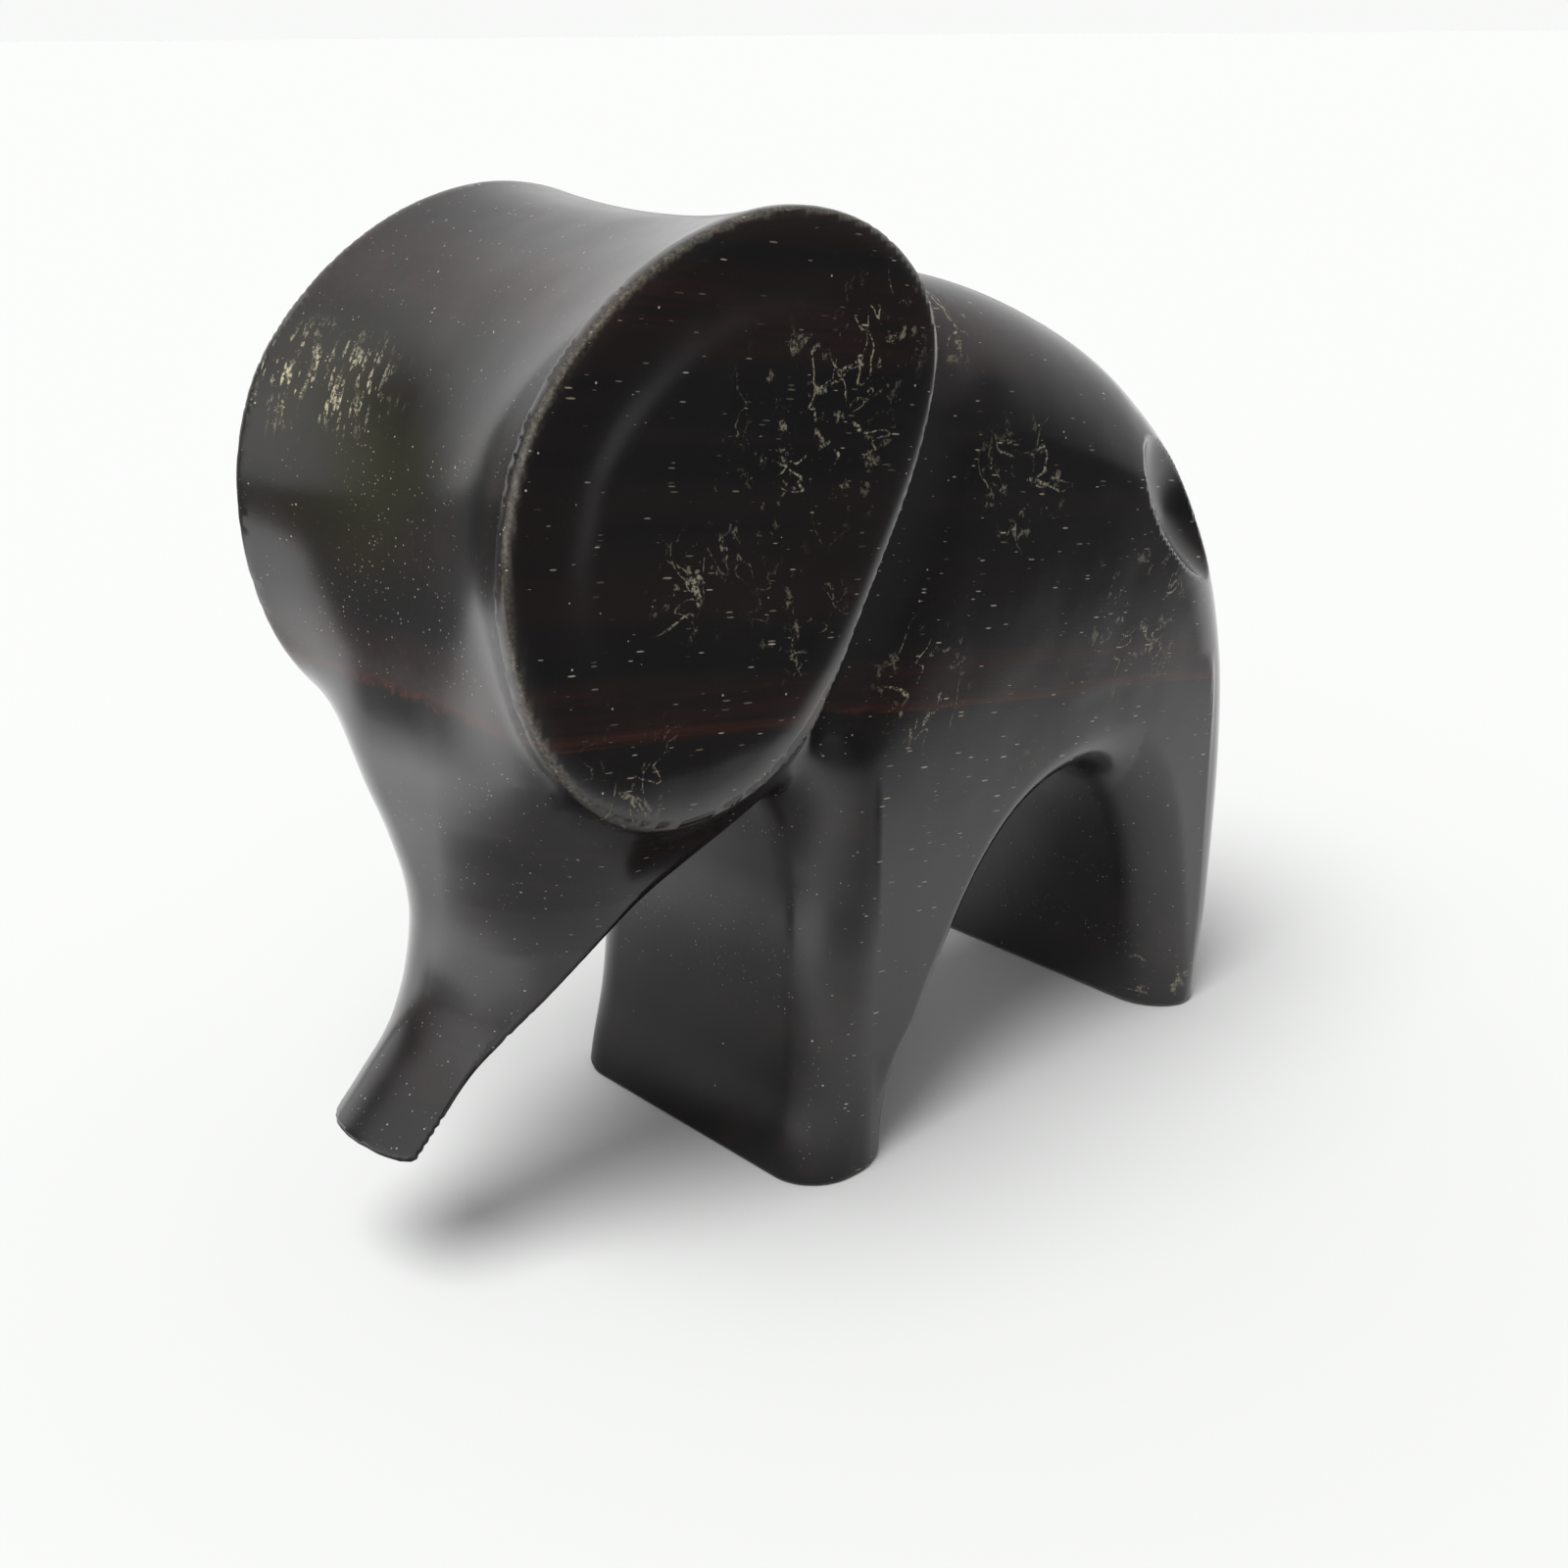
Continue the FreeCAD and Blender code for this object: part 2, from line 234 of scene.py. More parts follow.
def torso(side, y, z, ear, outline):
    """Torso and legs: the outline as a slab, its edges rounded, the neck cut in."""
    neck = np.exp(-(np.maximum(-ear, 0) / NECK_REACH) ** 2) * fade(*NECK_RANGE, z)
    half = BODY_HALF + FOOT_SPREAD * fade(*FOOT_RANGE, z) - NECK_DEPTH * neck
    front = along(FRONT_ROUND, z)
    rear = along(REAR_ROUND, z)
    radius = front + (rear - front) * fade(*REAR_RANGE, y)
    belly = fade(*BELLY_FRONT, y) * fade(*BELLY_TOP, z) * fade(*BELLY_REAR, y)
    belly = belly * fade(*BELLY_REACH, np.abs(y - BELLY_MIDDLE))
    arch = np.maximum(along(ARCH_ROUND, y), LEG_ROUND * fade(*LEG_RANGE, z))
    return meet(half - side, outline, radius * (1 - belly) + arch * belly)


def head(side, ear, waist):
    """The drum between the ears, drawn in between them, and the dished ear faces."""
    share = np.clip(side / DRUM_HALF, 0, 1) ** DRUM_FADE
    around = waist * (1 - share) + ear * share
    rim = np.clip(ear, 0, RIM_WIDTH)
    drop = RIM_DROP * (1 - np.sqrt(1 - ((RIM_WIDTH - rim) / RIM_WIDTH) ** 2))
    sunk = np.clip((ear - RIM_WIDTH) / DISH_SLOPE, 0, 1)
    dish = DISH_DEPTH * sunk * (2 - sunk) * fade(RIM_WIDTH, RIM_WIDTH + DISH_EDGE, ear)
    return meet(EAR_HALF - drop - dish - side, around, EAR_EDGE)


def trunk(side, y, z, front, rear):
    """The trunk: round in front, flat behind, cut off by its chisel tip."""
    blade = meet(along(TRUNK_HALF, z) - side, front, along(TRUNK_FRONT_ROUND, z))
    blade = meet(blade, rear, along(TRUNK_REAR_ROUND, z))
    tip = -((y - TIP_PLACE[0]) * TIP_FACE[0] + (z - TIP_PLACE[1]) * TIP_FACE[1])
    tip = tip - TIP_INSET - TIP_CURVE * (side / TIP_HALF) ** 3
    return meet(blade, tip, TIP_EDGE)


def hollow(side, y, z):
    """Outside the gouge cut on the corner of the haunch."""
    offset = [side - HOLLOW_PLACE[0], y - HOLLOW_PLACE[1], z - HOLLOW_PLACE[2]]
    across = np.cross(HOLLOW_OUT, HOLLOW_RUN)
    reach = 1e-9
    steep = 1e-9
    for axis, half in zip((HOLLOW_OUT, HOLLOW_RUN, across), HOLLOW_HALF):
        share = sum(a * b for a, b in zip(offset, axis)) / half
        reach = reach + share ** 2
        steep = steep + (share / half) ** 2
    return (reach - np.sqrt(reach)) / np.sqrt(steep)


def block(x, y, z, outlines):
    """The whole carving, positive inside."""
    ear, waist, outline, front, rear = outlines
    side = np.abs(x)
    body = join(head(side, ear, waist), trunk(side, y, z, front, rear), TRUNK_FILL)
    body = join(body, torso(side, y, z, ear, outline), NECK_FILL)
    body = meet(body, z, FOOT_EDGE)
    return meet(body, hollow(side, y, z), HOLLOW_EDGE)


def carve():
    """Vertices in millimetres and faces of the carved surface."""
    xs, ys, zs = (np.arange(low, high + GRID, GRID) for low, high in zip(GRID_LOW, GRID_HIGH))
    y, z = np.meshgrid(ys, zs, indexing="ij")
    outlines = [distance[None] for distance in profiles(y, z)]
    values = block(xs[:, None, None], y[None], z[None], outlines)
    grid = openvdb.FloatGrid(background=OPEN_AIR)
    grid.copyFromArray(np.ascontiguousarray(-values, dtype=np.float32))
    points, triangles, quads = grid.convertToPolygons(isovalue=0.0, adaptivity=0.0)
    places = np.array(points) * GRID + np.array(GRID_LOW)
    for _ in range(SETTLE_ROUNDS):
        places = settle(places)
    places[:, 0] = np.clip(places[:, 0], -EAR_HALF, EAR_HALF)
    places[:, 2] = np.maximum(places[:, 2], 0)
    faces = list(quads) + list(triangles)
    return places, [tuple(int(corner) for corner in face) for face in faces]


def level(places):
    """The block's function at places in millimetres."""
    x, y, z = places.T
    return block(x, y, z, profiles(y, z))


def slope(places):
    """Direction and steepness in which the block's function grows."""
    rise = np.empty_like(places)
    for axis in range(3):
        step = np.zeros(3)
        step[axis] = SLOPE_REACH
        rise[:, axis] = (level(places + step) - level(places - step)) / (2 * SLOPE_REACH)
    return rise


def settle(places):
    """Moves grid vertices onto the surface along its slope."""
    rise = slope(places)
    steep = (rise ** 2).sum(1) + 1e-9
    return places - np.clip(level(places) / steep, -SETTLE_LIMIT, SETTLE_LIMIT)[:, None] * rise


def skin(places, faces):
    """Mesh in metres of the carved surface, its normals straight from the block's function."""
    mesh = bpy.data.meshes.new("elephant")
    mesh.from_pydata([tuple(p) for p in places / 1000.0], [], faces)
    mesh.update()
    mesh.polygons.foreach_set("use_smooth", [True] * len(mesh.polygons))
    rise = slope(places)
    rise[places[:, 2] < SOLE] = (0, 0, 1)
    outward = -rise / np.linalg.norm(rise, axis=1)[:, None]
    mesh.normals_split_custom_set_from_vertices(outward)
    return mesh


def mark_wear(mesh, places):
    """Stores how worn each place is: 1 on the arrises of the ears, 0 away from them."""
    x, y, z = places.T
    ear_distance = profiles(y, z)[0]
    past_arris = (np.abs(x) - ARRIS_SIDE) / ARRIS_WIDTH
    arris = np.exp(-past_arris ** 2 - (ear_distance / ARRIS_WIDTH) ** 2)
    worn = mesh.attributes.new("worn", "FLOAT", "POINT")
    worn.data.foreach_set("value", arris.astype(np.float32))


places, faces = carve()
mesh = skin(places, faces)
mark_wear(mesh, places)
elephant = bpy.data.objects.new("elephant", mesh)
bpy.context.scene.collection.objects.link(elephant)


# ---------------------------------------------------------------- node helpers
class Web:
    """Short names for building one node tree."""

    def __init__(self, tree):
        self.tree = tree

    def add(self, kind, **settings):
        node = self.tree.nodes.new(kind)
        for name, value in settings.items():
            setattr(node, name, value)
        return node

    def feed(self, socket, value):
        if isinstance(value, bpy.types.NodeSocket):
            self.tree.links.new(value, socket)
        else:
            socket.default_value = value

    def math(self, operation, a, b=0.0, clamp=False):
        node = self.add("ShaderNodeMath", operation=operation, use_clamp=clamp)
        self.feed(node.inputs[0], a)
        self.feed(node.inputs[1], b)
        return node.outputs[0]

    def steps(self, value, low, high, start=0.0, end=1.0):
        """Smooth ramp of a value from start at low to end at high."""
        node = self.add("ShaderNodeMapRange", interpolation_type="SMOOTHSTEP")
        self.feed(node.inputs["Value"], value)
        node.inputs["From Min"].default_value = low
        node.inputs["From Max"].default_value = high
        node.inputs["To Min"].default_value = start
        node.inputs["To Max"].default_value = end
        return node.outputs["Result"]

    def mapped(self, vector, scale=(1, 1, 1), turn=(0, 0, 0), shift=(0, 0, 0)):
        node = self.add("ShaderNodeMapping")
        self.feed(node.inputs["Vector"], vector)
        node.inputs["Location"].default_value = shift
        node.inputs["Rotation"].default_value = [math.radians(a) for a in turn]
        node.inputs["Scale"].default_value = scale
        return node.outputs["Vector"]

    def noise(self, vector, detail, rough=0.5, distortion=0.0):
        """Cloudy values round 0.5."""
        node = self.add("ShaderNodeTexNoise")
        self.feed(node.inputs["Vector"], vector)
        node.inputs["Scale"].default_value = 1.0
        node.inputs["Detail"].default_value = detail
        node.inputs["Roughness"].default_value = rough
        node.inputs["Distortion"].default_value = distortion
        return node.outputs["Fac"]

    def cells(self, vector):
        """Distance to the middle of the nearest cell, and three random numbers per cell."""
        node = self.add("ShaderNodeTexVoronoi")
        self.feed(node.inputs["Vector"], vector)
        node.inputs["Scale"].default_value = 1.0
        parts = self.add("ShaderNodeSeparateColor")
        self.feed(parts.inputs[0], node.outputs["Color"])
        return node.outputs["Distance"], parts.outputs

    def split(self, vector):
        """The x, y and z of a vector."""
        node = self.add("ShaderNodeSeparateXYZ")
        self.feed(node.inputs[0], vector)
        return node.outputs

    def distance(self, vector, place):
        node = self.add("ShaderNodeVectorMath", operation="DISTANCE")
        self.feed(node.inputs[0], vector)
        node.inputs[1].default_value = place
        return node.outputs["Value"]

    def spot(self, vector, place, radius):
        """1 near a place, 0 a radius away from it."""
        return self.steps(self.distance(vector, place), radius, 0.25 * radius)

    def bump(self, height, strength, depth):
        """Bump node of a height; the depth is in metres."""
        node = self.add("ShaderNodeBump")
        node.inputs["Strength"].default_value = strength
        node.inputs["Distance"].default_value = depth
        self.feed(node.inputs["Height"], height)
        return node

    def blend(self, factor, a, b, mode="MIX"):
        """Colour a where the factor is 0, b where it is 1."""
        node = self.add("ShaderNodeMix", data_type="RGBA", blend_type=mode)
        self.feed(node.inputs["Factor"], factor)
        self.feed(node.inputs[6], a)
        self.feed(node.inputs[7], b)
        return node.outputs[2]


# ---------------------------------------------------------------- ebony
BLACK = (0.0042, 0.0040, 0.0043, 1)
BROWN = (0.0100, 0.0066, 0.0060, 1)
RED = (0.036, 0.0105, 0.0070, 1)
# Painted olive reflection of the surroundings, laid on the forehead.
OLIVE_REFLECTION = (0.0130, 0.0125, 0.0045, 1)
PORE = (0.42, 0.37, 0.28, 1)
SCRATCH = (0.31, 0.28, 0.19, 1)
DUST = (0.55, 0.53, 0.48, 1)
GRAIN_FALL = 9.0
ROUGHNESS = (0.16, 0.23)
HARM_ROUGHNESS = 0.35
WEAR_SHARE = 0.30

# Bands of red heartwood across the grain: height at mid length, half width, strength.
BANDS = [(60.6, 1.0, 0.95), (63.5, 4.5, 0.28), (105.5, 6.5, 0.24), (114.5, 3.0, 0.14),
         (48.0, 5.0, 0.08), (76.0, 4.0, 0.07), (20.0, 9.0, 0.07)]
BAND_WANDER = 7.0
BAND_FRAY = 3.0

# Pores, rasp marks and specks sit in cells: cells per millimetre, and the largest mark as a
# share of its cell.
PORE_CELLS = (1.9, 0.33, 2.1)
PORE_SIZE = 0.24
PORE_PALE = 0.65
RASP_CELLS = (1.9, 0.2, 0.34)
RASP_SIZE = 0.80
SPECK_CELLS = (0.33, 0.33, 0.33)
SPECK_SIZE = 0.05
SPECK_PALE = 0.5

# Where the side faces are scratched: place, radius, strength.
SCUFFS = [((27, -21, 98), 15, 0.9), ((27, -12, 107), 9, 0.8), ((27, -39, 83), 8, 0.7),
          ((27, -24, 77), 9, 0.5), ((27, -48, 65), 9, 0.5), ((27, -31, 90), 9, 0.6),
          ((25, 16, 86), 11, 0.8), ((25, -1, 64), 10, 0.8), ((25, 40, 64), 14, 0.6),
          ((18, 8, 107), 9, 0.6), ((25, 20, 47), 5, 0.5), ((23, 53, 5), 7, 0.8)]
SCRATCH_SHIFTS = [(0, 0, 0), (4, 9, 2), (8, 3, 7)]
CRUMB_SHARE = 0.55

# The rasped spot and the painted olive reflection are round in a space stretched by these
# shares.
RASP_STRETCH = (0.62, 0.7, 1.5)
RASP_PLACE = (-11.5, -39, 153.0)
RASP_REACH = 11.0
RASP_TURN = (0, 8, 0)
OLIVE_REFLECTION_STRETCH = (0.6, 1, 0.75)
OLIVE_REFLECTION_PLACE = (-6.0, -54.5, 73.0)
OLIVE_REFLECTION_REACH = 17

# Depths of relief, in metres, and how far each is felt.
SCRATCH_DEPTH = 0.00006
SCRATCH_FELT = 0.5
FACET_DEPTH = 0.0004
FACET_FELT = 0.35
SANDING_SHARE = 0.10
PORE_SHARE = 0.6


def heartwood(web, grain):
    """Black timber with brown streaks and red bands along the grain."""
    wander = web.noise(web.mapped(grain, scale=(0.03, 0.008, 0.03)), detail=3)
    fine = web.noise(web.mapped(grain, scale=(0.9, 0.012, 0.9)), detail=4, rough=0.7)
    coarse = web.noise(web.mapped(grain, scale=(0.16, 0.006, 0.16)), detail=2)
    height = web.math("ADD", web.split(grain)[2], web.math("MULTIPLY", wander, BAND_WANDER))
    height = web.math("SUBTRACT", height, BAND_WANDER / 2)
    fray = web.math("MULTIPLY", web.math("SUBTRACT", fine, 0.5), BAND_FRAY)
    height = web.math("ADD", height, fray)
    total = 0.0
    for middle, half, strength in BANDS:
        off = web.math("ABSOLUTE", web.math("SUBTRACT", height, middle))
        band = web.steps(off, half, 0.3 * half, 0.0, strength)
        total = web.math("MAXIMUM", total, band)
    streak = web.math("MULTIPLY", web.steps(fine, 0.42, 0.66), 0.9)
    redness = web.math("MULTIPLY", total, web.math("ADD", 0.35, streak))
    brown = web.math("MULTIPLY", web.steps(coarse, 0.42, 0.72), 0.7)
    color = web.blend(brown, BLACK, BROWN)
    return web.blend(web.math("MINIMUM", redness, 1.0), color, RED)


def pores(web, grain, patchy):
    """Open pores filled with pale wax, long along the grain and points across it."""
    near, chance = web.cells(web.mapped(grain, scale=PORE_CELLS))
    keep = web.math("GREATER_THAN", chance[0], web.steps(patchy, 0.3, 0.7, 0.55, 0.15))
    size = web.math("MULTIPLY", chance[1], PORE_SIZE)
    pore = web.steps(web.math("SUBTRACT", size, near), 0.0, 0.05)
    pale = web.math("MULTIPLY", web.math("POWER", chance[2], 2.0), PORE_PALE)
    return web.math("MULTIPLY", web.math("MULTIPLY", pore, keep), pale)


def scratches(web, place, broken):
    """Thin curved lines and crumbled spots where the sides are scuffed."""
    scuffed = 0.0
    for middle, radius, strength in SCUFFS:
        scuff = web.math("MULTIPLY", web.spot(place, middle, radius), strength)
        scuffed = web.math("MAXIMUM", scuffed, scuff)
    cloud = web.mapped(place, scale=(0.02, 0.055, 0.055))
    lines = 0.0
    for shift in SCRATCH_SHIFTS:
        field = web.noise(web.mapped(cloud, shift=shift), detail=3, rough=0.55, distortion=0.6)
        off = web.math("ABSOLUTE", web.math("SUBTRACT", field, 0.5))
        lines = web.math("MAXIMUM", lines, web.steps(off, 0.006, 0.002))
    gaps = web.steps(web.noise(web.mapped(place, scale=(0.16,) * 3), detail=1), 0.48, 0.56)
    lines = web.math("MULTIPLY", web.math("MULTIPLY", lines, gaps), broken)
    lines = web.math("MULTIPLY", lines, scuffed)
    crumbs = web.noise(web.mapped(place, scale=(0.42,) * 3), detail=6, rough=0.72)
    crumbs = web.math("MULTIPLY", web.steps(crumbs, 0.585, 0.66), scuffed)
    return web.math("MAXIMUM", lines, web.math("MULTIPLY", crumbs, CRUMB_SHARE))


def rasped(web, place, broken):
    """Rasp marks in a patch on the right side of the forehead."""
    patch = web.spot(web.mapped(place, scale=RASP_STRETCH), RASP_PLACE, RASP_REACH)
    ragged = web.noise(web.mapped(place, scale=(0.3,) * 3), detail=3)
    patch = web.math("MULTIPLY", patch, web.steps(ragged, 0.40, 0.58))
    strokes = web.mapped(place, turn=RASP_TURN)
    near, chance = web.cells(web.mapped(strokes, scale=RASP_CELLS))
    size = web.math("MULTIPLY", chance[0], RASP_SIZE)
    rasp = web.steps(web.math("SUBTRACT", size, near), 0, 0.1)
    return web.math("MULTIPLY", web.math("MULTIPLY", rasp, patch), broken)


def specks(web, place):
    """Specks of dust."""
    near, chance = web.cells(web.mapped(place, scale=SPECK_CELLS))
    size = web.math("MULTIPLY", chance[0], SPECK_SIZE)
    speck = web.steps(web.math("SUBTRACT", size, near), 0.0, 0.012)
    return web.math("MULTIPLY", speck, SPECK_PALE)


def olive_reflection(web, place, patchy):
    """Painted dark olive reflection on the forehead."""
    reflected_olive = web.spot(web.mapped(place, scale=OLIVE_REFLECTION_STRETCH), OLIVE_REFLECTION_PLACE, OLIVE_REFLECTION_REACH)
    return web.math("MULTIPLY", reflected_olive, web.steps(patchy, 0.35, 0.65, 0.25, 1.0))


def relief(web, place, grain, harm):
    """Normals of the timber: harm sunk, hand-polished facets, faint sanding lines."""
    sanding = web.noise(web.mapped(grain, scale=(3.0, 0.25, 3.0)), detail=2)
    facets = web.noise(web.mapped(place, scale=(0.09,) * 3), detail=1)
    height = web.math("SUBTRACT", web.math("MULTIPLY", sanding, SANDING_SHARE), harm)
    small = web.bump(height, SCRATCH_FELT, SCRATCH_DEPTH)
    large = web.bump(facets, FACET_FELT, FACET_DEPTH)
    web.feed(large.inputs["Normal"], small.outputs["Normal"])
    return large.outputs["Normal"]


def ebony():
    """Polished black timber; its patterns are laid out in millimetres of the block."""
    material = bpy.data.materials.new("ebony")
    material.use_nodes = True
    web = Web(material.node_tree)
    shader = material.node_tree.nodes["Principled BSDF"]
    place = web.mapped(web.add("ShaderNodeTexCoord").outputs["Object"], scale=(1000,) * 3)
    grain = web.mapped(place, turn=(GRAIN_FALL, 0, 0))
    patchy = web.noise(web.mapped(place, scale=(0.05,) * 3), detail=2)
    crumbly = web.noise(web.mapped(place, scale=(2.2,) * 3), detail=3, rough=0.7)
    broken = web.steps(crumbly, 0.44, 0.60)
    pore = pores(web, grain, patchy)
    marks = scratches(web, place, broken)
    rasp = rasped(web, place, broken)
    worn = web.add("ShaderNodeAttribute", attribute_name="worn").outputs["Fac"]
    wear = web.math("MULTIPLY", worn, web.steps(crumbly, 0.35, 0.65, 0.1, 0.9))

    # Painted dark olive reflection on the forehead, in the base colour.
    color = web.blend(olive_reflection(web, place, patchy), heartwood(web, grain), OLIVE_REFLECTION)
    color = web.blend(pore, color, PORE)
    color = web.blend(web.math("MULTIPLY", wear, WEAR_SHARE), color, SCRATCH)
    color = web.blend(marks, color, SCRATCH)
    color = web.blend(rasp, color, SCRATCH)
    color = web.blend(specks(web, place), color, DUST)
    web.feed(shader.inputs["Base Color"], color)

    scratched = web.math("MAXIMUM", marks, rasp)
    harm = web.math("MAXIMUM", scratched, web.math("MULTIPLY", pore, PORE_SHARE))
    smear = web.noise(web.mapped(place, scale=(0.05, 0.05, 0.03)), detail=4, rough=0.6)
    dulled = web.math("MULTIPLY", harm, HARM_ROUGHNESS)
    roughness = web.math("ADD", web.steps(smear, 0.3, 0.7, *ROUGHNESS), dulled, clamp=True)
    web.feed(shader.inputs["Roughness"], roughness)
    shader.inputs["IOR"].default_value = 1.5
    web.feed(shader.inputs["Normal"], relief(web, place, grain, harm))
    return material


elephant.data.materials.append(ebony())
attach(elephant, "root")
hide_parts("carved_elephant")

scene = bpy.context.scene
scene.view_settings.view_transform = "Standard"

# ---------------------------------------------------------------- floor, metres
FLOOR_REACH = 60.0
FLOOR_WHITE = (0.508, 0.514, 0.508, 1)

# Painted reflection: how bright the timber mirrors the floor, painted on the floor for glossy
# rays.  It fades to darker tones past its left side (in front and behind), to a painted shadow
# under its head and far off on its right, and gains in front of it.
MIRROR_WHITE = 0.72
LEFT_RANGE = (0.07, 0.16)
LEFT_SLANT = 0.15
LEFT_TONES = (0.20, 0.06)
BEHIND_RANGE = (-0.06, 0.06)
SHADOW_UNDER_HEAD = (-0.01, -0.05, 0.0)
SHADOW_UNDER_RANGE = (0.03, 0.09)
SHADOW_UNDER_SHARE = 0.35
FRONT_RANGE = (-0.09, -0.16)
FRONT_SIDE_RANGE = (-0.22, -0.10)
FRONT_GAIN = 0.8
RIGHT_WAY = (-0.85, -0.50)
RIGHT_RANGE = (0.27, 0.36)
RIGHT_SHARE = 0.18


def painted_reflection_tone(web):
    """Painted reflection and shadow: floor tone as the timber mirrors it, from the place on the
    floor.
    """
    place = web.add("ShaderNodeTexCoord").outputs["Object"]
    x, y = web.split(place)[:2]
    slant = web.math("MULTIPLY", web.math("MAXIMUM", y, 0.0), LEFT_SLANT)
    past_left = web.steps(web.math("SUBTRACT", x, slant), *LEFT_RANGE)
    left_tone = web.steps(y, *BEHIND_RANGE, *LEFT_TONES)
    drop = web.math("MULTIPLY", past_left, web.math("SUBTRACT", MIRROR_WHITE, left_tone))
    tone = web.math("SUBTRACT", MIRROR_WHITE, drop)
    # Painted shadow of the head on the floor, seen only in reflections.
    painted_shadow = web.steps(web.distance(place, SHADOW_UNDER_HEAD), *SHADOW_UNDER_RANGE, SHADOW_UNDER_SHARE, 1.0)
    tone = web.math("MULTIPLY", tone, painted_shadow)
    front = web.math("MULTIPLY", web.steps(y, *FRONT_RANGE),
                     web.steps(x, *FRONT_SIDE_RANGE, 0.0, FRONT_GAIN))
    tone = web.math("MULTIPLY", tone, web.math("ADD", front, 1.0))
    off_right = web.math("ADD", web.math("MULTIPLY", x, RIGHT_WAY[0]),
                         web.math("MULTIPLY", y, RIGHT_WAY[1]))
    return web.math("MULTIPLY", tone, web.steps(off_right, *RIGHT_RANGE, 1.0, RIGHT_SHARE))


def paper():
    """Matt white paper, with painted light and shade where the timber mirrors it."""
    material = bpy.data.materials.new("paper")
    material.use_nodes = True
    web = Web(material.node_tree)
    nodes = material.node_tree.nodes
    nodes.remove(nodes["Principled BSDF"])
    glossy = web.add("ShaderNodeLightPath").outputs["Is Glossy Ray"]
    matt = web.add("ShaderNodeBsdfDiffuse")
    web.feed(matt.inputs["Color"], web.blend(glossy, FLOOR_WHITE, painted_reflection_tone(web)))
    web.feed(nodes["Material Output"].inputs["Surface"], matt.outputs[0])
    return material


floor_mesh = bpy.data.meshes.new("floor")
floor_mesh.from_pydata([(-FLOOR_REACH, -FLOOR_REACH, 0), (FLOOR_REACH, -FLOOR_REACH, 0),
                        (FLOOR_REACH, FLOOR_REACH, 0), (-FLOOR_REACH, FLOOR_REACH, 0)],
                       [], [(0, 1, 2, 3)])
floor = bpy.data.objects.new("floor", floor_mesh)
scene.collection.objects.link(floor)
floor.data.materials.append(paper())

# ---------------------------------------------------------------- studio light
WALL = (0.935, 0.945, 0.935, 1)
MATT_SHARE = 0.8
HIGH_RANGE = (0.37, 0.67)

# Brightness all round the studio: direction in degrees from the figure's front towards its
# left side, low down near the floor and high up.
AROUND = [(-180, 0.7, 0.85), (-150, 0.95, 0.8), (-120, 1.0, 0.8), (-90, 1.3, 0.9),
          (-72, 1.1, 1.1), (-60, 0.20, 1.0), (-50, 0.25, 1.0), (-35, 0.8, 1.2), (-15, 1.6, 1.3),
          (20, 2.0, 1.4), (50, 1.6, 1.3), (65, 1.0, 1.1), (80, 0.25, 0.5), (100, 0.18, 0.45),
          (120, 0.18, 0.7), (145, 0.18, 0.85), (165, 0.6, 0.85), (180, 0.7, 0.85)]
LOW_DOWN, HIGH_UP = 1, 2
BRIGHTEST = 2.0

# Which way the daylight shines, its strength and how soft it is, in degrees.
SUN_AHEAD = (-0.05, 0.45, -1.0)
SUN_ENERGY = 4.0
SUN_SPREAD = 40


def brightness_ramp(web, turn, column):
    """Brightness round the studio at one height, from the direction as a share of a turn."""
    node = web.add("ShaderNodeValToRGB")
    web.feed(node.inputs[0], turn)
    stops = node.color_ramp.elements
    for k, row in enumerate(AROUND):
        place = (row[0] + 180) / 360
        if k == 0:
            stop = stops[0]
        elif k == len(AROUND) - 1:
            stop = stops[len(stops) - 1]
        else:
            stop = stops.new(place)
        stop.position = place
        stop.color = (row[column] / BRIGHTEST,) * 3 + (1,)
    return node.outputs[0]


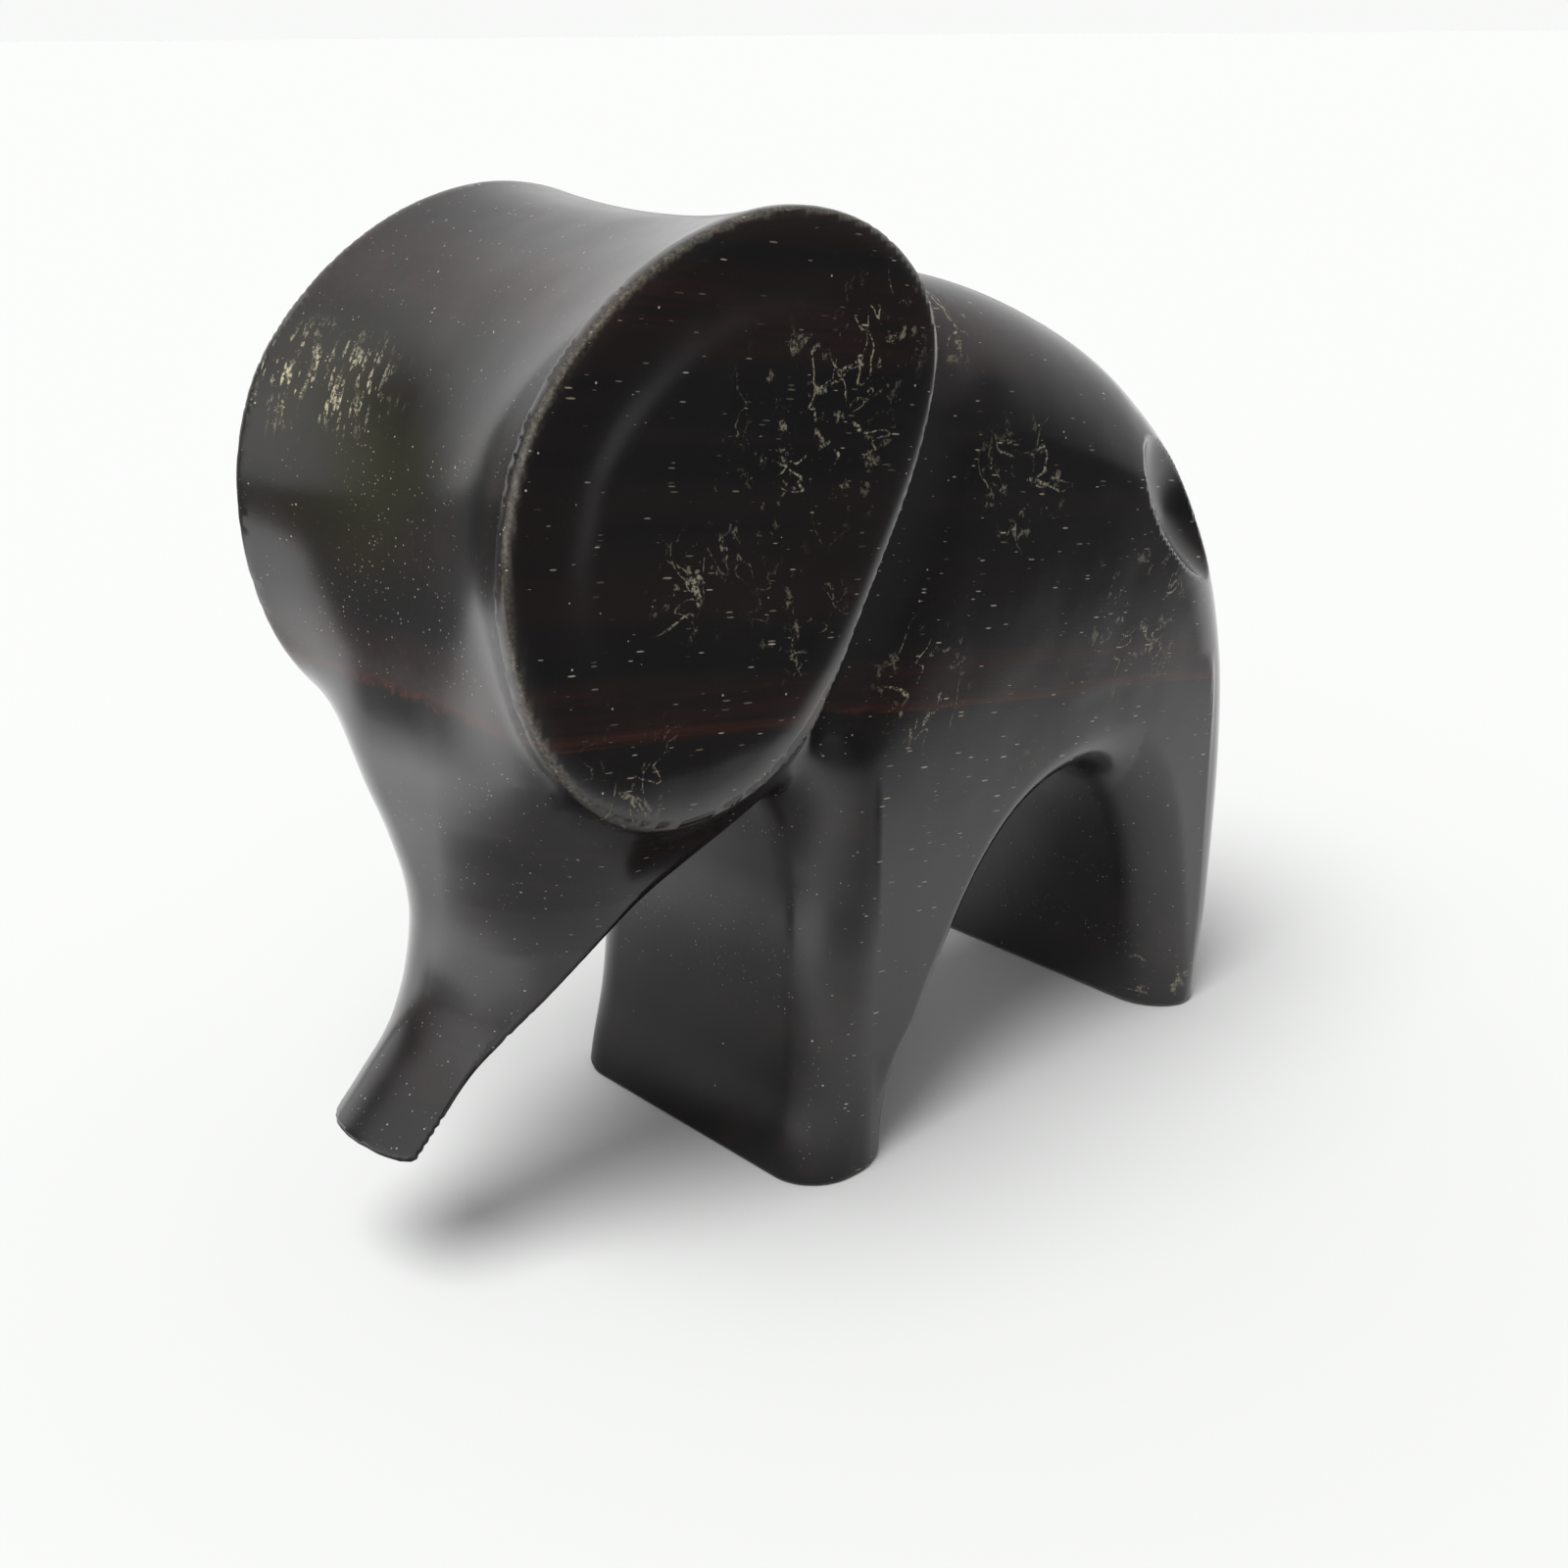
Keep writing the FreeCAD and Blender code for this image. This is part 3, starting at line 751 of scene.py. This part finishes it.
def studio():
    """World: soft light from all round, dimmer on matt things, a plain wall to the camera."""
    world = bpy.data.worlds.new("studio")
    world.use_nodes = True
    web = Web(world.node_tree)
    rays = web.add("ShaderNodeLightPath").outputs
    ahead = web.split(web.add("ShaderNodeTexCoord").outputs["Generated"])
    turn = web.math("ARCTAN2", ahead[0], web.math("MULTIPLY", ahead[1], -1.0))
    turn = web.math("ADD", web.math("DIVIDE", turn, 2 * math.pi), 0.5)
    high = web.steps(ahead[2], *HIGH_RANGE)
    room = web.blend(high, brightness_ramp(web, turn, LOW_DOWN),
                     brightness_ramp(web, turn, HIGH_UP))
    room = web.blend(1.0, room, (BRIGHTEST,) * 3 + (1,), "MULTIPLY")
    dimmed = web.blend(1.0, room, (MATT_SHARE,) * 3 + (1,), "MULTIPLY")
    room = web.blend(rays["Is Glossy Ray"], dimmed, room)
    sky = world.node_tree.nodes["Background"]
    web.feed(sky.inputs["Color"], web.blend(rays["Is Camera Ray"], room, WALL))
    return world


scene.world = studio()

# Soft daylight from above and in front, which only matt things show.
daylight = bpy.data.lights.new("daylight", "SUN")
daylight.energy = SUN_ENERGY
daylight.angle = math.radians(SUN_SPREAD)
sun = bpy.data.objects.new("daylight", daylight)
sun.rotation_euler = Vector(SUN_AHEAD).to_track_quat("-Z", "Y").to_euler()
sun.visible_glossy = False
scene.collection.objects.link(sun)

# ---------------------------------------------------------------- camera
CAMERA_PLACE = (0.179915, -0.1665, 0.138)
AZIMUTH, PITCH, ROLL = 47.533, 20.998, -0.404
FOCUS = 45.0

camera_data = bpy.data.cameras.new("camera")
camera_data.sensor_width = 36.0
camera_data.lens = FOCUS
camera_data.clip_start = 0.01
camera = bpy.data.objects.new("camera", camera_data)
scene.collection.objects.link(camera)
azimuth, pitch, roll = (math.radians(a) for a in (AZIMUTH, PITCH, ROLL))
ahead = Vector((-math.sin(azimuth) * math.cos(pitch), math.cos(azimuth) * math.cos(pitch),
                -math.sin(pitch)))
right = Vector((math.cos(azimuth), math.sin(azimuth), 0))
up = right.cross(ahead)
turned_right = right * math.cos(roll) + up * math.sin(roll)
turned_up = up * math.cos(roll) - right * math.sin(roll)
axes = Matrix((turned_right, turned_up, -ahead)).transposed().to_4x4()
camera.matrix_world = Matrix.Translation(CAMERA_PLACE) @ axes
scene.camera = camera
